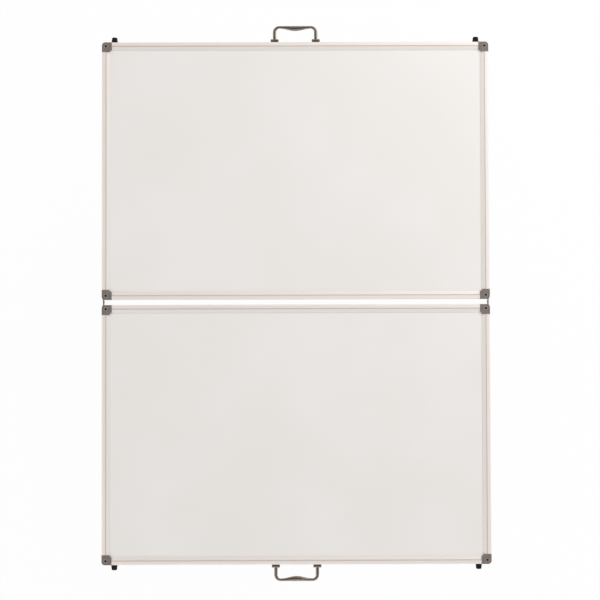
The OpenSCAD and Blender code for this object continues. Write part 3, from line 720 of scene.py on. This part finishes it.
def rivet():
    """Countersunk-head blind rivet with its upset end behind the rail's wall."""
    body_d, head_d, head_h, bulb = 2.6, 4.0, 0.9, 2.6
    foot_z = -RAIL_WALL - FIT_GAP - bulb
    made = stepped((head_d, bulb), (body_d, BASE_T - head_h - foot_z - bulb),
                   (head_d, head_h - FIT_GAP))
    soften(made, width=0.25, segments=3)
    return shifted(made, Matrix.Translation((0, 0, foot_z)))


for prefix, panel in PANELS.items():
    board = BOARD_OF[prefix]
    bar = combined("UNION", handle_bar(), handle_eye(LEFT), handle_eye(RIGHT))
    piece(f"{prefix}_handle_bar", copies(bar, [at_free_edge(panel, 0, MID_Z)]), HANDLE,
          HANDLE_OF[prefix], "handle", f"{prefix}_handle_grip")
    legs = [at_free_edge(panel, side * HANDLE_SPAN / 2, MID_Z) for side in (LEFT, RIGHT)]
    piece(f"{prefix}_pivot_pins", copies(handle_pin(), legs), BRACKET, board, "bracket",
          f"{prefix}_handle_pins")
    for hand in ("left", "right"):
        node = f"{prefix}_{hand}_bracket"
        piece(f"{node}_clevis", soften(cad_copy(node), width=0.2), BRACKET, board, "bracket", node)
    holes = [at_free_edge(panel, side * HANDLE_SPAN / 2, z) @ ALONG_Y
             for side in (LEFT, RIGHT) for z in RIVET_HEIGHTS]
    piece(f"{prefix}_blind_rivets", copies(rivet(), holes), BRIGHT, board, "bright_fastener",
          f"{prefix}_bracket_rivets")


# Floor, light and camera

# In metres. The boards fold down below the plane that they lie in, so the floor is that much lower
FLOOR_Z, FLOOR_HALF = -0.70, 40.0


def sees_background(tree):
    """1 for rays that find the plain white background: from the camera, and in reflections."""
    path = add(tree, "ShaderNodeLightPath").outputs
    either = add(tree, "ShaderNodeMath", {
        0: path["Is Camera Ray"], 1: path["Is Glossy Ray"]}, operation="MAXIMUM")
    return add(tree, "ShaderNodeMath", {
        0: either, 1: path["Is Transmission Ray"]}, operation="MAXIMUM")


def white_floor():
    """Plain white, though the last twentieth of what the camera sees is paint, for the shadow."""
    material, tree = blank_material("white_studio_floor")
    paint = add(tree, "ShaderNodeBsdfDiffuse", {"Color": linear("#fcfcfc")})
    white = add(tree, "ShaderNodeEmission", {"Color": linear("#ffffff"), "Strength": 1.0})
    most = 0.95
    share = add(tree, "ShaderNodeMath", {0: sees_background(tree), 1: most}, operation="MULTIPLY")
    both = add(tree, "ShaderNodeMixShader", {0: share, 1: paint, 2: white})
    add(tree, "ShaderNodeOutputMaterial", {"Surface": both})
    return material


def studio():
    """The floor, and a world that lights the object evenly from all round."""
    floor = bmesh.new()
    bmesh.ops.create_grid(floor, x_segments=1, y_segments=1, size=FLOOR_HALF)
    shifted(floor, Matrix.Translation((0, 0, FLOOR_Z)))
    plane = loose_object(floor)
    plane.name = "studio_floor"
    plane.data.materials.append(white_floor())

    world = bpy.data.worlds.new("studio")
    scene.world = world
    world.use_nodes = True
    tree = world.node_tree
    tree.nodes.clear()
    fill, white = 0.665, 1.0   # what lights the object, and what the camera sees
    strength = add(tree, "ShaderNodeMapRange", {
        "Value": sees_background(tree), "To Min": fill, "To Max": white})
    sky = add(tree, "ShaderNodeBackground", {"Color": (1, 1, 1, 1), "Strength": strength})
    add(tree, "ShaderNodeOutputWorld", {"Surface": sky})


def dim_ceiling():
    """The dim studio ceiling round the camera. It is only found in reflections, and gives polished
    metal its dark core."""
    half_size, middle, brightness = 2.3, (0, 0.6, 2.5), 0.25
    card = bmesh.new()
    bmesh.ops.create_grid(card, x_segments=1, y_segments=1, size=half_size)
    shifted(card, Matrix.Translation(middle))
    plane = loose_object(card)
    plane.name = "dim_ceiling"
    material, tree = blank_material("dim_ceiling")
    glow = add(tree, "ShaderNodeEmission", {"Color": (1, 1, 1, 1), "Strength": brightness})
    add(tree, "ShaderNodeOutputMaterial", {"Surface": glow})
    plane.data.materials.append(material)
    plane.visible_camera = plane.visible_diffuse = plane.visible_shadow = False
    plane.visible_transmission = plane.visible_volume_scatter = False


def softbox(name, spot, aim, size, watts):
    """A soft lamp, turned to its aim."""
    light = bpy.data.lights.new(name, "AREA")
    light.shape, light.size, light.size_y = "RECTANGLE", *size
    light.energy = watts
    box = bpy.data.objects.new(name, light)
    box.location = spot
    box.rotation_euler = (Vector(aim) - Vector(spot)).to_track_quat("-Z", "Y").to_euler()
    scene.collection.objects.link(box)


def camera():
    """Nearly straight above, fitted to the corners of both boards."""
    data = bpy.data.cameras.new("camera")
    data.sensor_width, data.lens = 36.0, 77.25
    eye = bpy.data.objects.new("camera", data)
    eye.location = (-0.0013, -0.0703, 3.0)
    eye.rotation_euler = [math.radians(a) for a in (1.4368, -0.2037, -0.1663)]
    scene.collection.objects.link(eye)
    scene.camera = eye


studio()
dim_ceiling()
softbox("key", spot=(1.7, 1.5, 2.2), aim=(0.1, 0.1, 0), size=(2.6, 2.6), watts=46)
softbox("side_fill", spot=(-2.2, -1.0, 1.6), aim=(0, 0, 0), size=(2.0, 2.0), watts=9)
softbox("low_strip", spot=(0.0, -2.6, 0.75), aim=(0, 0, 0), size=(1.6, 0.35), watts=4)
camera()
scene.view_settings.view_transform = "Standard"
